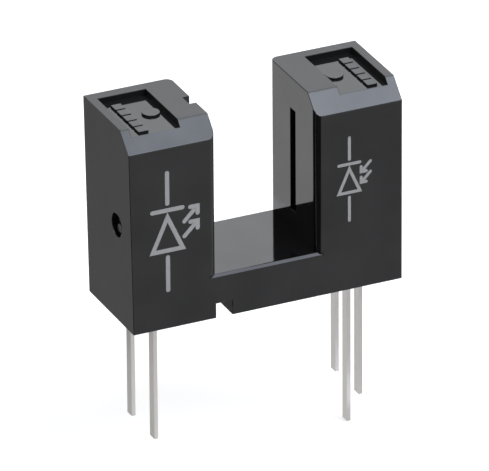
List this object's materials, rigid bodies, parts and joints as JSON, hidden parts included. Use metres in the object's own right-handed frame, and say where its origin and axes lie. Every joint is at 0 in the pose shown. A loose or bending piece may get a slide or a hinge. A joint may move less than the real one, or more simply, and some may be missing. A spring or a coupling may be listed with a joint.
{
  "type": "slot-type photoelectric sensor",
  "caption": "U-shaped photoelectric sensor with an open sensing slot between an emitter tower and a detector tower, on flat through-hole leads.",
  "frame": {"origin": "middle of the slot and of the depth, on the seating plane that meets the circuit board", "axes": "+X from the emitter tower to the detector tower, +Z away from the board, -Y the front with the bevelled top edge"},
  "size_m": [0.0138, 0.005, 0.0181],
  "materials": {
    "housing": "glossy black moulded resin, finely grained on the faces that lie up",
    "lead": "dull bright tin plating on a flat stamped lead",
    "clear_resin": "clear cast resin, faintly blue",
    "dark_resin": "violet black resin that passes infrared light only",
    "chip": "polished grey semiconductor",
    "paste": "silver-filled conductive paste",
    "wire": "drawn gold wire",
    "marking": "plain grey strokes of marking ink on the front faces"
  },
  "bodies": {
    "root": {"housing": "housing", "anode_lead": "lead", "cathode_lead": "lead", "supply_lead": "lead", "output_lead": "lead", "ground_lead": "lead", "emitter_package": "clear_resin", "emitter_chip": "chip", "emitter_die_bond": "paste", "emitter_bond_wire": "wire", "detector_package": "dark_resin", "detector_chip": "chip", "detector_die_bond": "paste", "supply_bond_wire": "wire", "output_bond_wire": "wire", "ground_bond_wire": "wire"}
  },
  "joints": []
}
